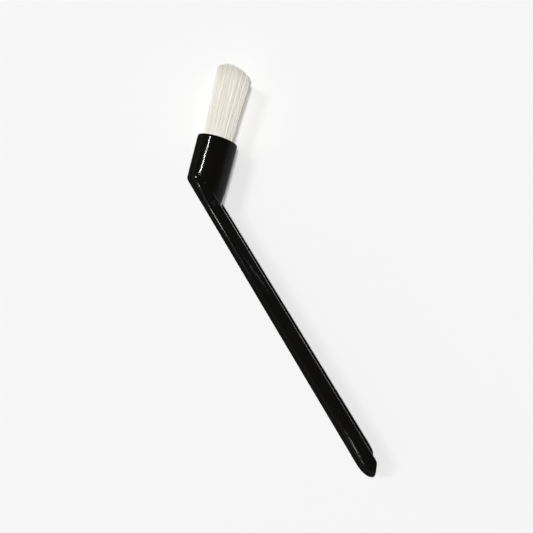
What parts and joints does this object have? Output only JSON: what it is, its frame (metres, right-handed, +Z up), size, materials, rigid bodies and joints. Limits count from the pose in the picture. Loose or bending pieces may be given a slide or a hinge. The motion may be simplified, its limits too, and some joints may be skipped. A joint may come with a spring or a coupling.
{
  "type": "crevice brush",
  "caption": "Angled cleaning brush: a round barrel with a short stiff bristle tuft, set by a bend on a long arm with a hollow open face and a closed rounded tail.",
  "frame": {"origin": "the bend point on the barrel's axis, inside the barrel's round outside wall", "axes": "+Z up, square to the plane of the bend, with the brush lying on its side; -Y along the arm from the bend point to the tail; +X out of the arm's open face, on the side that the barrel is bent towards"},
  "size_m": [0.0509, 0.1941, 0.0186],
  "materials": {
    "handle_plastic": "gloss black moulded plastic",
    "set_resin": "amber set resin",
    "nylon_bristle": "ivory nylon strands"
  },
  "bodies": {
    "root": {"handle": "handle_plastic", "resin_bed_plug": "set_resin", "bristle_tuft": "nylon_bristle"}
  },
  "joints": []
}
